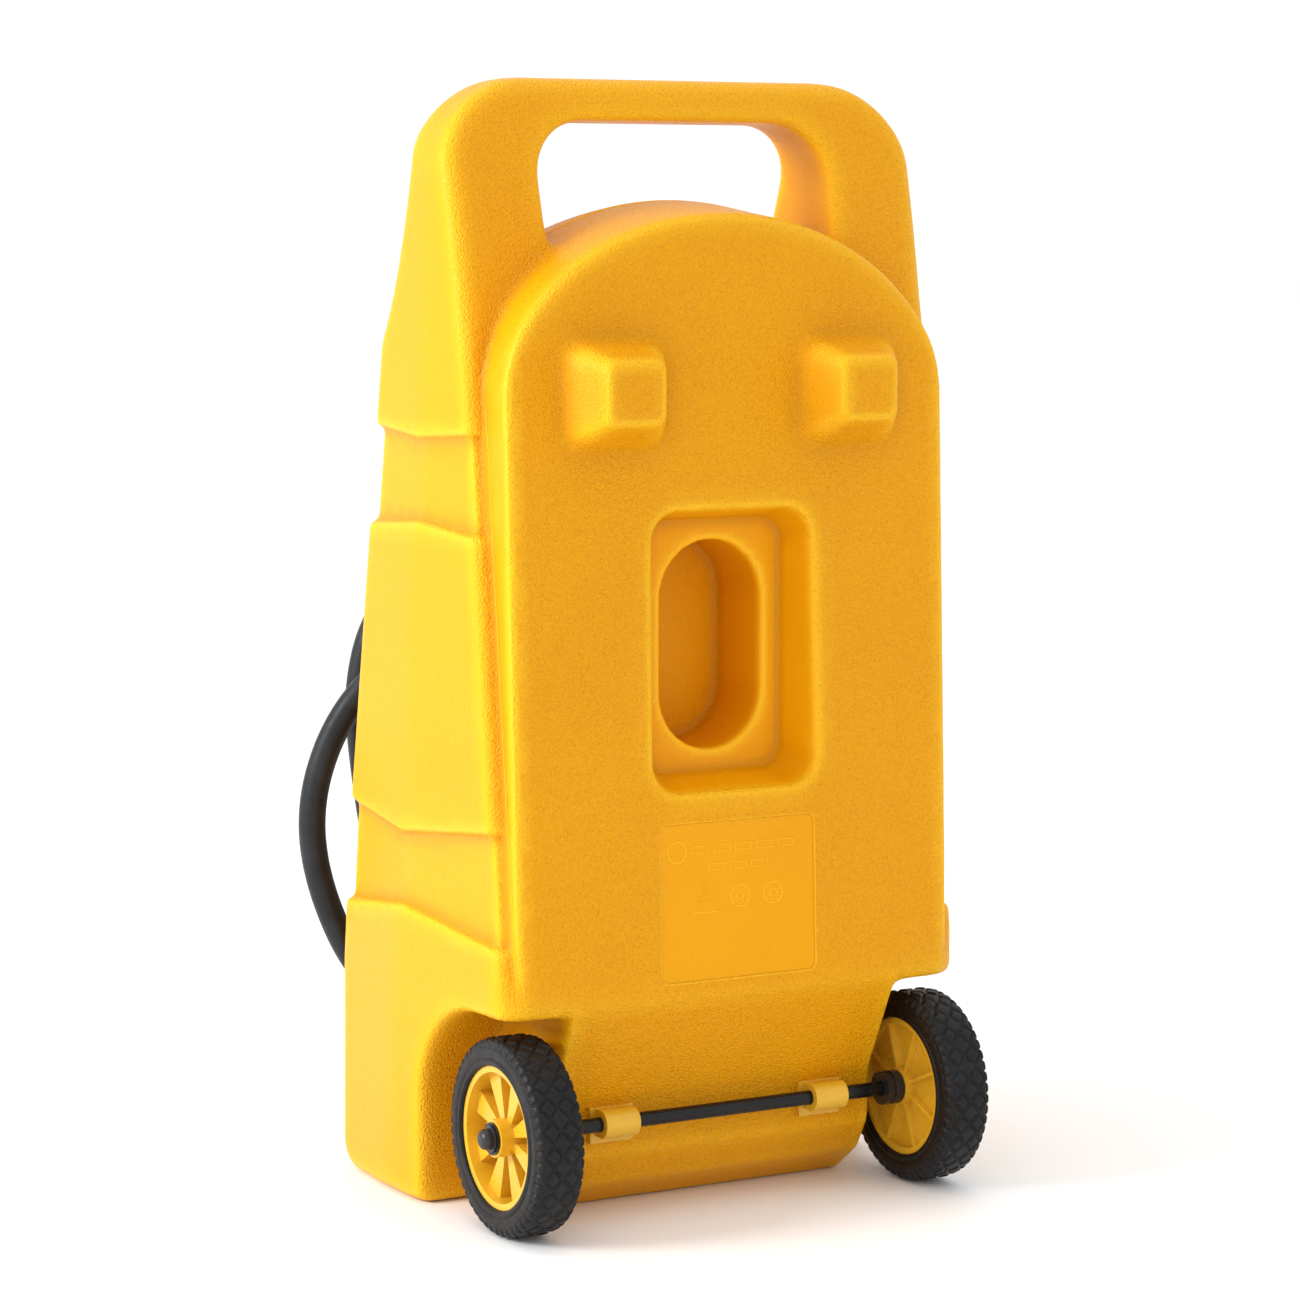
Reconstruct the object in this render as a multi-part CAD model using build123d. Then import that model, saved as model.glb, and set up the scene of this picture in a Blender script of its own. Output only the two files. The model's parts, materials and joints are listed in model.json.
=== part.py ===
"""Wheeled fuel caddy: a blow-moulded tank on two wheels, with a bottom outlet valve,
a hose and a hand pump that is stored in a channel in the tank's front."""
from build123d import *
import math
import os

# ------------------------------------------------------------------ driving dimensions
# Millimetres. +X is to one side, +Y is towards the wheels, +Z is up. The origin lies on
# the ground, on the symmetry plane, in the base of the tank.

# Tank
HEIGHT = 911.0            # ground to the top of the handle
WALL = 4.0                # blow-moulded wall
HALF_REAR = 213.0         # half width of the flanks at the rear edge
HALF_CREASE = 219.0       # half width at the crease, where the flanks are widest
HALF_FRONT = 209.0        # half width ahead of the front face
CREASE_BASE_Y = -89.0     # where the crease meets the ground
CREASE_SLOPE = 0.11       # its lean to the rear, per unit of height
FRONT_Y = -193.0          # front face below the lean
FRONT_KNEE_Z = 225.0      # where the front face starts to lean back
FRONT_TOP = (-106.0, 702.0)
HANDLE_TOP_Y = (-33.0, 12.0)
REAR_KNEE = (64.0, 636.0)
REAR_SLOPE = 0.10         # lean of the flanks' rear edge below the knee
EDGE_R = 12.0             # rounding of the flanks' long edges
BAND_DEPTH = 7.0          # recessed bands that split each flank into three panels
BANDS = (                 # each band's upper and lower edge: Z at the front, crease and rear
    ((640.0, 626.0, 636.0), (545.0, 560.0, 548.0)),
    ((323.0, 305.0, 326.0), (225.0, 246.0, 229.0)),
)

# Core: the arched body that stands out of the flanks at the rear
CORE_HALF = 200.5
CORE_SPRING_Z = 660.0
CORE_REAR_Y = 99.3        # rear face at CORE_REAR_Z
CORE_REAR_Z = 656.0
CORE_REAR_SLOPE = 0.035
DOME_REAR_Z = 797.0       # apex of the arch at the rear face
DOME_TOP_Z = 815.0        # apex at the parting line
CORE_EDGE_R = 24.0
CORE_FRONT_Y = -92.0      # the core ends inside the flanks, behind the slanted shoulder
CREASE_Z = 180.0          # where the rear face turns in to the axle groove

# Handle opening
OPENING_HALF = 135.0
OPENING_TOP_Z = 876.0
OPENING_FOOT_Z = 716.0    # inside the dome, which closes the opening's foot
OPENING_R = 45.0

# Wheels and axle
WHEEL_R = 80.0
WHEEL_INNER_X = 168.0
WHEEL_OUTER_X = 211.0
AXLE_R = 6.0
AXLE_Y = 88.6
AXLE_Z = 80.0
AXLE_END_X = 217.0
RIM_R = 57.0              # seat of the tyre on the rim
HUB_R = 15.0
BUSH_R = 9.0
SPOKES = 8
SPOKE_HALF = (1.0, 10.5)  # half width of a spoke's wedge at the axis and at the barrel
CLIP_X = (79.0, 118.0)    # ends of each saddle clip
GROOVE_Y = 74.0           # wall behind the axle
HOUSING_X = 152.0         # inner wall of the wheel housings
HOUSING_TOP_Z = 174.0
HOUSING_FRONT_Y = -30.0

# Front channel
CHANNEL_HALF = 60.0
CHANNEL_DEPTH = 40.0
CHANNEL_Z = (48.0, 790.0)

# Rear window, oval pocket, marking plate and rest pads
WINDOW_Z = 458.0
WINDOW_RIM = (156.0, 229.0, 26.0)     # width, height and corner radius at the rear face
WINDOW_FLOOR = (126.0, 205.0, 20.0)
WINDOW_DEPTH = 38.0
POCKET = (94.0, 170.0, 46.9)
POCKET_DEPTH = 70.0
PLATE = (144.0, 128.0, 7.0)
PLATE_Z = 257.0
PLATE_DEPTH = 1.8
PAD_FOOT = (104.0, 101.0, 16.0)
PAD_TOP = (50.0, 49.0, 8.0)
PAD_FOOT_AT = (108.0, 660.0)          # X, Z
PAD_TOP_AT = (107.0, 665.0)
PAD_RISE = 40.0

# Slanted shoulder between the handle's legs, with the filler and the vent
SHOULDER_FOOT = (-108.0, 692.0)
SHOULDER_CREST = (-24.0, 803.0)
SHOULDER_TOP_Z = 850.0
SHOULDER_HALF = 129.0      # inside the handle opening's outline
NECK_SHARE = 0.47         # how far up the shoulder the necks stand
NECK_X = -87.0
NECK_R = 27.0
NECK_BORE_R = 22.5
NECK_RISE = 20.0
VENT_X = 87.0
VENT_R = 12.0
VENT_RISE = 12.0

# Bottom outlet and ball valve: the pipe turns from the tank's wall towards +X
OUTLET_X = -38.0
OUTLET_Z = 105.0
OUTLET_Y = -212.0         # centre line of the valve and the hose's first run
PIPE_BORE_R = 8.0
SHANK_R = 12.0
VALVE_X = 0.0             # middle of the ball
VALVE_BODY_X = (-20.0, 20.0)
BALL_R = 12.0
STEM_R = 4.0
HOSE_START_X = 30.0

# Hand pump, upright in the channel: W runs up its axis from the foot of the barrel
PUMP_BASE_Z = 560.0
PUMP_BEHIND_FRONT = 15.0
BARREL_R = 16.0
BARREL_BORE_R = 13.0
FOOT_W = (-10.0, 60.0)
BARREL_W = (50.0, 170.0)
SPOUT_END_W = -88.0
PISTON_W = (64.0, 80.0)
HANDLE_W = 216.0
ROD_R = 4.0
PORT_DIRECTION = (0.72, -0.55, -0.42)
PORT_LENGTH = 52.0
PORT_W = 40.0             # where the port's axis leaves the pump's axis
FIT = 0.05                # radial clearance of a running fit

# Hose and its hook
HOSE_R = 11.5
HOOK_AT = (76.5, 438.4)
HOOK_TIP_Y = -215.0

LEAN = math.atan2(FRONT_TOP[0] - FRONT_Y, FRONT_TOP[1] - FRONT_KNEE_Z)


def front_y(z):
    """Y of the tank's front face at height z."""
    return FRONT_Y + max(0.0, z - FRONT_KNEE_Z) * math.tan(LEAN)


def core_rear_y(z):
    """Y of the core's rear face at height z."""
    return CORE_REAR_Y + (CORE_REAR_Z - z) * CORE_REAR_SLOPE


def across(face, half=300):
    """A side view (Y, Z) made into a prism across the whole width."""
    return extrude(Plane.YZ * face, half, both=True)


def front_to_rear(face, half=400):
    """A front view (X, Z) made into a prism along the whole depth."""
    return extrude(Plane.XZ * face, half, both=True)


def inset_face(face, inset):
    """A face with its outline moved in, keeping its corners."""
    if inset == 0:
        return face
    return offset(face, -inset, kind=Kind.INTERSECTION)


def soften(solid, edges, radius):
    """Rounds edges, at a smaller radius where the full one doesn't fit."""
    for share in (1, 0.7, 0.45, 0.25):
        try:
            rounded = fillet(edges, radius * share)
        except Exception:
            continue
        if rounded.is_valid and rounded.volume > 0:
            return rounded
    return solid


# ------------------------------------------------------------------ tank outlines
def flank_profile():
    """Side view of the flanks, which run up into the handle."""
    base_rear = (REAR_KNEE[0] + REAR_KNEE[1] * REAR_SLOPE, 0)
    top_front = (HANDLE_TOP_Y[0], HEIGHT)
    top_rear = (HANDLE_TOP_Y[1], HEIGHT)
    outline = Polyline(REAR_KNEE, base_rear, (FRONT_Y, 0), (FRONT_Y, FRONT_KNEE_Z), FRONT_TOP)
    outline += ThreePointArc(FRONT_TOP, (-60, 796), top_front)
    outline += Line(top_front, top_rear)
    outline += ThreePointArc(top_rear, (44, 775), REAR_KNEE)
    face = make_face(outline)
    top = face.vertices().sort_by(Axis.Y)[-2:]
    face = fillet(top, 15)
    front_foot = face.vertices().sort_by(Axis.Y)[:2].sort_by(Axis.X)[0]
    return fillet(front_foot, 26)


def silhouette():
    """Front view of the flanks and handle as one filled shape."""
    face = Pos(0, HEIGHT / 2) * Rectangle(2 * HALF_CREASE + 2, HEIGHT)
    face = fillet(face.vertices().sort_by(Axis.Y)[-2:], 82)
    return fillet(face.vertices().sort_by(Axis.Y)[:2], 16)


def flank_plan(inset):
    """Plan view of the flanks, widest at the crease, as a prism that leans with it."""
    points = [(HALF_REAR, 130), (HALF_CREASE, CREASE_BASE_Y), (HALF_FRONT, FRONT_Y - 20)]
    points += [(-x, y) for x, y in reversed(points)]
    face = inset_face(make_face(Polyline(*points, close=True)), inset)
    return Pos(0, 0, -1) * extrude(face, 1.02 * HEIGHT, dir=(0, CREASE_SLOPE, 1))


def flank_block(inset):
    """The flanks and handle before any opening, with every face moved in."""
    block = across(inset_face(flank_profile(), inset))
    return block & front_to_rear(inset_face(silhouette(), inset)) & flank_plan(inset)


def handle_opening(grow):
    """Cutter between the handle's legs, from below the dome up to the handle bar."""
    low, high = OPENING_FOOT_Z, OPENING_TOP_Z + grow
    side = OPENING_HALF + grow
    foot = OPENING_HALF - 5 + grow
    points = [(-foot, low), (-side, high), (side, high), (foot, low)]
    face = make_face(Polyline(*points, close=True))
    return front_to_rear(fillet(face.vertices().sort_by(Axis.Y)[-2:], OPENING_R + grow))


def arch(half, apex, inset):
    """Front view of the core: straight sides under half an ellipse."""
    rise = apex - CORE_SPRING_Z
    wide, tall, foot = half - inset, rise - inset, inset
    outline = EllipticalCenterArc((0, CORE_SPRING_Z), wide, tall, start_angle=0, arc_size=180)
    outline += Polyline((-wide, CORE_SPRING_Z), (-wide, foot), (wide, foot), (wide, CORE_SPRING_Z))
    return make_face(outline)


def core_profile():
    """Side view of the core, with the axle groove and the lip under it."""
    rear_top = core_rear_y(DOME_TOP_Z + 10)
    points = [
        (CORE_FRONT_Y, DOME_TOP_Z + 10),
        (rear_top, DOME_TOP_Z + 10),
        (core_rear_y(CREASE_Z), CREASE_Z),
        (GROOVE_Y + 4, 102),
        (GROOVE_Y, 92),
        (GROOVE_Y, 52),
        (58, 24),
        (26, 0),
        (CORE_FRONT_Y + 32, 0),
        (CORE_FRONT_Y + 32, 560),
        (CORE_FRONT_Y, 690),
    ]
    face = make_face(Polyline(*points, close=True))
    spots = face.vertices()
    face = fillet(spots.sort_by_distance((core_rear_y(CREASE_Z), CREASE_Z))[0], 30)
    for spot, radius in (((GROOVE_Y + 4, 102), 20), ((GROOVE_Y, 52), 12), ((58, 24), 16)):
        face = fillet(face.vertices().sort_by_distance(spot)[0], radius)
    return face


def core_block(inset):
    """The arched core: drafted both ways from the parting line, round at its rear edge."""
    tilt = math.degrees(math.atan(CORE_REAR_SLOPE))
    rear = Plane((0, core_rear_y(0) - inset, 0), x_dir=(1, 0, 0), z_dir=(0, -1, 0))
    rear = rear.rotated((-tilt, 0, 0))
    middle = Plane((0, 0, 0), x_dir=(1, 0, 0), z_dir=(0, -1, 0))
    front = Plane((0, CORE_FRONT_Y - 8, 0), x_dir=(1, 0, 0), z_dir=(0, -1, 0))
    body = loft(
        [
            rear * arch(CORE_HALF, DOME_REAR_Z, inset),
            middle * arch(CORE_HALF + 2.5, DOME_TOP_Z, inset),
            front * arch(CORE_HALF - 2, DOME_TOP_Z - 12, inset),
        ],
        ruled=True,
    )
    rim = body.faces().sort_by(Axis.Y)[-1].edges().filter_by(lambda edge: edge.center().Z > 60)
    body = soften(body, rim, CORE_EDGE_R - inset)
    return body & across(inset_face(core_profile(), inset))


def shoulder_cut(grow):
    """Cutter for the slanted shoulder between the legs, which carries the filler."""
    foot = (SHOULDER_FOOT[0], SHOULDER_FOOT[1] - grow)
    crest = (SHOULDER_CREST[0] + grow, SHOULDER_CREST[1])
    points = [foot, crest, (crest[0], SHOULDER_TOP_Z), (-200, SHOULDER_TOP_Z), (-200, foot[1])]
    face = make_face(Polyline(*points, close=True))
    return extrude(Plane.YZ * face, SHOULDER_HALF + grow, both=True)


def housing_cut(side, grow):
    """Cutter for one wheel housing, open to the rear, the side and the ground."""
    low, back = -40.0, 260.0
    front, top = HOUSING_FRONT_Y - grow, HOUSING_TOP_Z + grow
    face = make_face(Polyline((front, low), (front, top), (back, top), (back, low), close=True))
    face = fillet(face.vertices().sort_by_distance((front, top))[0], 88 + grow)
    length = 300.0
    cutter = Pos(HOUSING_X - grow, 0, 0) * extrude(Plane.YZ * face, length)
    return cutter if side > 0 else mirror(cutter, Plane.YZ)


def rear_foot_cut(grow):
    """Cutter that ends the flanks at the housings; the core alone reaches lower."""
    front, top = HOUSING_FRONT_Y + 40 - grow, HOUSING_TOP_Z + grow
    face = make_face(Polyline((front, -10), (front, top), (260, top), (260, -10), close=True))
    return across(face, HOUSING_X + 2 + grow)


def channel_cut(grow):
    """Cutter for the front channel, which follows the lean of the front face."""
    half, (low, high) = CHANNEL_HALF + grow, CHANNEL_Z
    depth = CHANNEL_DEPTH + grow
    low, high = low - grow, high + grow
    points = [
        (FRONT_Y + depth, low),
        (FRONT_Y + depth, FRONT_KNEE_Z),
        (front_y(high) + depth, high),
        (front_y(high) - 80, high),
        (FRONT_Y - 80, low),
    ]
    return extrude(Plane.YZ * make_face(Polyline(*points, close=True)), half, both=True)


def band_cutters(grow):
    """Recessed bands round the flanks: narrower at the crease, so their edges are chevrons."""
    floor = flank_block(BAND_DEPTH + grow)
    cutters = []
    for top, bottom in BANDS:
        crease_y = CREASE_BASE_Y + CREASE_SLOPE * (top[1] + bottom[1]) / 2
        ys = (FRONT_Y - 37, crease_y, 130.0)
        upper = [(y, z + grow) for y, z in zip(ys, top)]
        lower = [(y, z - grow) for y, z in zip(ys, bottom)]
        ring = across(make_face(Polyline(*upper, *reversed(lower), close=True)))
        cutters.append(ring - floor)
    return cutters


def facing_rear(x, y, z):
    """Frame at a point, with its Z axis to the rear."""
    return Plane((x, y, z), x_dir=(1, 0, 0), z_dir=(0, 1, 0))


def grown(outline, grow):
    """A rounded rectangle's width, height and corner radius with its outline moved out."""
    width, height, radius = outline
    return RectangleRounded(width + 2 * grow, height + 2 * grow, radius + grow)


def pad(side):
    """Rest pad: a truncated pyramid that carries the tank when it lies on its back."""
    foot_x, foot_z = PAD_FOOT_AT
    top_x, top_z = PAD_TOP_AT
    foot = facing_rear(side * foot_x, core_rear_y(foot_z) - 12, foot_z) * RectangleRounded(*PAD_FOOT)
    top = facing_rear(side * top_x, core_rear_y(top_z) + PAD_RISE, top_z) * RectangleRounded(*PAD_TOP)
    return loft([foot, top])


def window_cut(grow):
    """Cutter for the rear window: a drafted recess with an oval pocket in its floor."""
    rear = core_rear_y(WINDOW_Z)
    rim = facing_rear(0, rear + 6, WINDOW_Z)
    floor = facing_rear(0, rear - WINDOW_DEPTH - grow, WINDOW_Z)
    recess = loft([floor * grown(WINDOW_FLOOR, grow), rim * grown(WINDOW_RIM, grow)])
    return recess + extrude(floor * grown(POCKET, grow), POCKET_DEPTH, dir=(0, -1, 0))


def plate_cut():
    """Cutter for the shallow marking plate under the window."""
    tilt = math.degrees(math.atan(CORE_REAR_SLOPE))
    place = facing_rear(0, core_rear_y(PLATE_Z) - PLATE_DEPTH, PLATE_Z)
    plate = place.rotated((tilt, 0, 0)) * RectangleRounded(*PLATE)
    return extrude(plate, 20, dir=(0, 1, 0))


def on_shoulder(x):
    """Frame on the slanted shoulder at x: its Z axis points out of the shoulder."""
    foot_y, foot_z = SHOULDER_FOOT
    crest_y, crest_z = SHOULDER_CREST
    run = math.hypot(crest_y - foot_y, crest_z - foot_z)
    normal = (0, -(crest_z - foot_z) / run, (crest_y - foot_y) / run)
    origin = (x, foot_y + NECK_SHARE * (crest_y - foot_y), foot_z + NECK_SHARE * (crest_z - foot_z))
    return Plane(origin, x_dir=(1, 0, 0), z_dir=normal)


def stub(place, radius, low, high):
    """Cylinder on a frame, from one height to another along its axis."""
    return place * Pos(0, 0, (low + high) / 2) * Cylinder(radius, high - low)


def tank_form(inset):
    """The tank with every face moved in by inset: 0 is the outside, WALL the inside."""
    block = flank_block(inset)
    rear_x, front_x = HALF_REAR - inset - 4, HALF_CREASE - inset - 2
    rear = [e for e in block.edges() if abs(e.center().X) > rear_x]
    rear = [e for e in rear if e.center().Y > 20 and e.center().Z > 100]
    block = soften(block, rear, EDGE_R - inset)
    front = [e for e in block.edges() if 150 < abs(e.center().X) < front_x]
    front = [e for e in front if e.center().Y < -60 and e.center().Z > 60]
    block = soften(block, front, EDGE_R - inset)
    block -= rear_foot_cut(inset)
    for cutter in band_cutters(inset):
        block -= cutter
    block -= handle_opening(inset)
    core = core_block(inset)
    for side in (-1, 1):
        core -= housing_cut(side, inset)
        block -= housing_cut(side, inset)
    form = block + core
    form -= shoulder_cut(inset)
    form -= channel_cut(inset)
    form -= window_cut(inset)
    return form


def filler_neck_solid():
    """Filler neck with two thread beads."""
    place = on_shoulder(NECK_X)
    neck = stub(place, NECK_R, -8, NECK_RISE)
    for height in (10, 15):
        neck += place * Pos(0, 0, height) * Torus(NECK_R - 0.4, 1.4)
    return neck


def tank_shell():
    """The blow-moulded tank: panels, core, handle, pads, window, channel and necks in one wall."""
    outside = tank_form(0)
    for side in (-1, 1):
        outside += pad(side)
    outside += filler_neck_solid()
    outside += stub(on_shoulder(VENT_X), VENT_R, -8, VENT_RISE)
    outside -= plate_cut()
    shell = outside - tank_form(WALL)
    shell -= stub(on_shoulder(NECK_X), NECK_BORE_R, -14, NECK_RISE + 1)
    shell -= stub(on_shoulder(VENT_X), 4, -14, VENT_RISE + 1)
    floor_y = FRONT_Y + CHANNEL_DEPTH
    shell -= along_y(OUTLET_X, OUTLET_Z, SHANK_R + 0.3, floor_y - 3, floor_y + WALL + 3)
    return shell


# ------------------------------------------------------------------ round pieces
def along_y(x, z, radius, low, high):
    """Cylinder along Y from low to high."""
    return Pos(x, (low + high) / 2, z) * Rot(90, 0, 0) * Cylinder(radius, high - low)


def along_x(y, z, radius, low, high):
    """Cylinder along X from low to high."""
    return Pos((low + high) / 2, y, z) * Rot(0, 90, 0) * Cylinder(radius, high - low)


def ring_x(y, z, outer, inner, low, high):
    """Tube along X."""
    return along_x(y, z, outer, low, high) - along_x(y, z, inner, low - 1, high + 1)


def on_side(side, solid):
    """A piece modelled on the +X side, or its mirror image."""
    return solid if side > 0 else mirror(solid, Plane.YZ)


# ------------------------------------------------------------------ wheels
def tyre():
    """Solid rubber tyre with round shoulders."""
    width = WHEEL_OUTER_X - WHEEL_INNER_X
    middle = (WHEEL_OUTER_X + WHEEL_INNER_X) / 2
    section = Pos(middle, (WHEEL_R + RIM_R) / 2) * Rectangle(width, WHEEL_R - RIM_R)
    section = fillet(section.vertices().sort_by(Axis.Y)[-2:], 10)
    section = chamfer(section.vertices().sort_by(Axis.Y)[:2], 3)
    return Pos(0, AXLE_Y, AXLE_Z) * revolve(section, Axis.X)


def rim():
    """Moulded rim: barrel, web, hub, eight ribs on each side of the web."""
    low, high = WHEEL_INNER_X + 3.5, WHEEL_OUTER_X - 3.5
    web = WHEEL_INNER_X + 10
    body = ring_x(AXLE_Y, AXLE_Z, RIM_R, RIM_R - 5, low, high)
    body += along_x(AXLE_Y, AXLE_Z, RIM_R - 4, web, web + 4)
    body += along_x(AXLE_Y, AXLE_Z, HUB_R, WHEEL_INNER_X + 0.5, WHEEL_OUTER_X - 0.5)
    for step in range(SPOKES):
        angle = step * 360 / SPOKES + 22.5
        narrow, wide = SPOKE_HALF
        wedge = Polyline((0, -narrow), (RIM_R - 3, -wide), (RIM_R - 3, wide), (0, narrow), close=True)
        spoke = extrude(Plane.YZ * make_face(wedge), 18)
        body += Pos(web + 3, AXLE_Y, AXLE_Z) * Rot(angle, 0, 0) * spoke
        rib = Pos(web - 2.5, 0, (RIM_R - 3) / 2) * Box(6, 3, RIM_R - 3)
        body += Pos(0, AXLE_Y, AXLE_Z) * Rot(angle, 0, 0) * rib
    return body - along_x(AXLE_Y, AXLE_Z, BUSH_R, WHEEL_INNER_X - 1, WHEEL_OUTER_X + 1)


def wheel_bush():
    """Nylon bush pressed into the hub, with a running fit on the axle."""
    return ring_x(AXLE_Y, AXLE_Z, BUSH_R, AXLE_R + FIT, WHEEL_INNER_X + 0.5, WHEEL_OUTER_X - 0.5)


def axle_collar():
    """Spacer between the housing's wall and the hub."""
    collar = ring_x(AXLE_Y, AXLE_Z, 14, AXLE_R, HOUSING_X + 0.5, WHEEL_INNER_X - 0.3)
    return collar - ring_x(AXLE_Y, AXLE_Z, 15, 12.5, HOUSING_X + 6, HOUSING_X + 8)


def hub_washer():
    """Blackened steel washer outside the hub."""
    return ring_x(AXLE_Y, AXLE_Z, 13, AXLE_R, WHEEL_OUTER_X, WHEEL_OUTER_X + 1.5)


def hub_cap():
    """Domed push-on cap on the axle's end, with a thin flange."""
    low, high = WHEEL_OUTER_X + 1.5, WHEEL_OUTER_X + 11.5
    cap = along_x(AXLE_Y, AXLE_Z, 8.5, low, high)
    cap = fillet(cap.edges().sort_by(Axis.X)[-1], 6)
    cap += along_x(AXLE_Y, AXLE_Z, 11, low, low + 1.5)
    return cap - along_x(AXLE_Y, AXLE_Z, AXLE_R, low - 1, AXLE_END_X)


def axle():
    """Plain steel axle through both wheels and the saddle clips."""
    return along_x(AXLE_Y, AXLE_Z, AXLE_R, -AXLE_END_X, AXLE_END_X)


def axle_clip():
    """Saddle that holds the axle in its groove."""
    middle = (CLIP_X[0] + CLIP_X[1]) / 2
    width = CLIP_X[1] - CLIP_X[0]
    foot_y = GROOVE_Y + 0.2
    foot = Pos(middle, foot_y + 2.5, 77) * Box(width, 5, 29)
    neck = Pos(middle, (foot_y + AXLE_Y) / 2, AXLE_Z) * Box(width - 8, AXLE_Y - foot_y, 22)
    saddle = along_x(AXLE_Y, AXLE_Z, 11.5, CLIP_X[0] + 4, CLIP_X[1] - 4)
    clip = foot + neck + saddle
    return clip - along_x(AXLE_Y, AXLE_Z, AXLE_R, CLIP_X[0] - 1, CLIP_X[1] + 1)


# ------------------------------------------------------------------ filler and vent
def filler_cap():
    """Screw cap with grip notches, open at its foot."""
    place = on_shoulder(NECK_X)
    cap = stub(place, 33, 4, NECK_RISE + 5.5)
    for step in range(20):
        notch = place * Rot(0, 0, step * 18) * Pos(33.6, 0, 12) * Cylinder(1.8, 20)
        cap -= notch
    grip = place * Pos(0, 0, NECK_RISE + 8) * Box(46, 9, 9)
    cap += grip
    return cap - stub(place, NECK_R + 1.6, 2, NECK_RISE + 2)


def cap_gasket():
    """Flat ring between the neck and the cap's roof."""
    place = on_shoulder(NECK_X)
    ring = stub(place, NECK_R - 0.5, NECK_RISE, NECK_RISE + 2)
    return ring - stub(place, NECK_BORE_R, NECK_RISE - 1, NECK_RISE + 3)


def vent_knob():
    """Small vent cap with a ribbed skirt."""
    place = on_shoulder(VENT_X)
    knob = stub(place, 16, 4, VENT_RISE + 7)
    for step in range(12):
        knob -= place * Rot(0, 0, step * 30) * Pos(16.4, 0, 14) * Cylinder(1.5, 14)
    return knob - stub(place, VENT_R + 0.5, 2, VENT_RISE + 1.5)


def vent_seal():
    """Seal ring on top of the vent neck."""
    place = on_shoulder(VENT_X)
    return stub(place, VENT_R - 0.5, VENT_RISE, VENT_RISE + 1.2) - stub(place, 4, VENT_RISE - 1, VENT_RISE + 2)


# ------------------------------------------------------------------ outlet and valve
def outlet_elbow():
    """Elbow through the channel's floor: inner flange, shank, bend and socket."""
    inside = FRONT_Y + CHANNEL_DEPTH + WALL
    elbow = along_y(OUTLET_X, OUTLET_Z, 22, inside + 2, inside + 6)
    elbow += along_y(OUTLET_X, OUTLET_Z, SHANK_R, OUTLET_Y, inside + 3)
    elbow += Pos(OUTLET_X, OUTLET_Y, OUTLET_Z) * Sphere(15)
    elbow += along_x(OUTLET_Y, OUTLET_Z, 15, OUTLET_X, VALVE_BODY_X[0])
    elbow -= along_y(OUTLET_X, OUTLET_Z, PIPE_BORE_R, OUTLET_Y, inside + 7)
    elbow -= Pos(OUTLET_X, OUTLET_Y, OUTLET_Z) * Sphere(PIPE_BORE_R)
    return elbow - along_x(OUTLET_Y, OUTLET_Z, PIPE_BORE_R, OUTLET_X, VALVE_BODY_X[0] + 1)


def outlet_gasket():
    """Flat ring between the elbow's flange and the inside of the wall."""
    low = FRONT_Y + CHANNEL_DEPTH + WALL
    ring = along_y(OUTLET_X, OUTLET_Z, 22, low, low + 2)
    return ring - along_y(OUTLET_X, OUTLET_Z, SHANK_R, low - 1, low + 3)


def outlet_nut():
    """Hexagon nut that clamps the elbow to the wall."""
    low, high = FRONT_Y + CHANNEL_DEPTH - 10, FRONT_Y + CHANNEL_DEPTH
    face = Plane((OUTLET_X, high, OUTLET_Z), x_dir=(1, 0, 0), z_dir=(0, -1, 0)) * RegularPolygon(20, 6)
    nut = extrude(face, high - low)
    return nut - along_y(OUTLET_X, OUTLET_Z, SHANK_R, low - 1, high + 1)


def outlet_strainer():
    """Closed sieve basket over the outlet, inside the tank."""
    low = FRONT_Y + CHANNEL_DEPTH + WALL + 6
    basket = along_y(OUTLET_X, OUTLET_Z, 13, low, low + 26)
    basket -= along_y(OUTLET_X, OUTLET_Z, 11.5, low - 1, low + 24.5)
    for row in range(3):
        for step in range(6):
            hole = Pos(0, 0, 10) * Cylinder(2, 12)
            turned = Rot(0, 60 * step, 0) * hole
            basket -= Pos(OUTLET_X, low + 5 + 7 * row, OUTLET_Z) * turned
    return basket


def hexagon_x(low, radius, length):
    """Hexagon bar along the valve's axis."""
    end = Plane((low, OUTLET_Y, OUTLET_Z), x_dir=(0, 1, 0), z_dir=(1, 0, 0))
    return extrude(end * RegularPolygon(radius, 6), length)


def valve_body():
    """Ball valve body: two hexagon ends, round middle and stem boss."""
    low, high = VALVE_BODY_X
    body = along_x(OUTLET_Y, OUTLET_Z, 16, low + 8, high - 8)
    for end in (low, high - 8):
        body += hexagon_x(end, 17, 8)
    body += along_y(VALVE_X, OUTLET_Z, 8, OUTLET_Y - 20, OUTLET_Y)
    body -= along_x(OUTLET_Y, OUTLET_Z, PIPE_BORE_R, low - 1, high + 1)
    body -= Pos(VALVE_X, OUTLET_Y, OUTLET_Z) * Sphere(BALL_R + FIT)
    return body - along_y(VALVE_X, OUTLET_Z, STEM_R + FIT, OUTLET_Y - 22, OUTLET_Y)


def valve_ball():
    """Ball with its bore across the flow, as when shut."""
    ball = Pos(VALVE_X, OUTLET_Y, OUTLET_Z) * Sphere(BALL_R - 0.02)
    ball -= Pos(VALVE_X, OUTLET_Y, OUTLET_Z) * Cylinder(PIPE_BORE_R - 0.5, 30)
    return ball - Pos(VALVE_X, OUTLET_Y - BALL_R, OUTLET_Z) * Box(20, 4, 20)


def valve_stem():
    """Stem from the ball to the lever."""
    return along_y(VALVE_X, OUTLET_Z, STEM_R, OUTLET_Y - 30, OUTLET_Y - BALL_R + 2)


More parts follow.
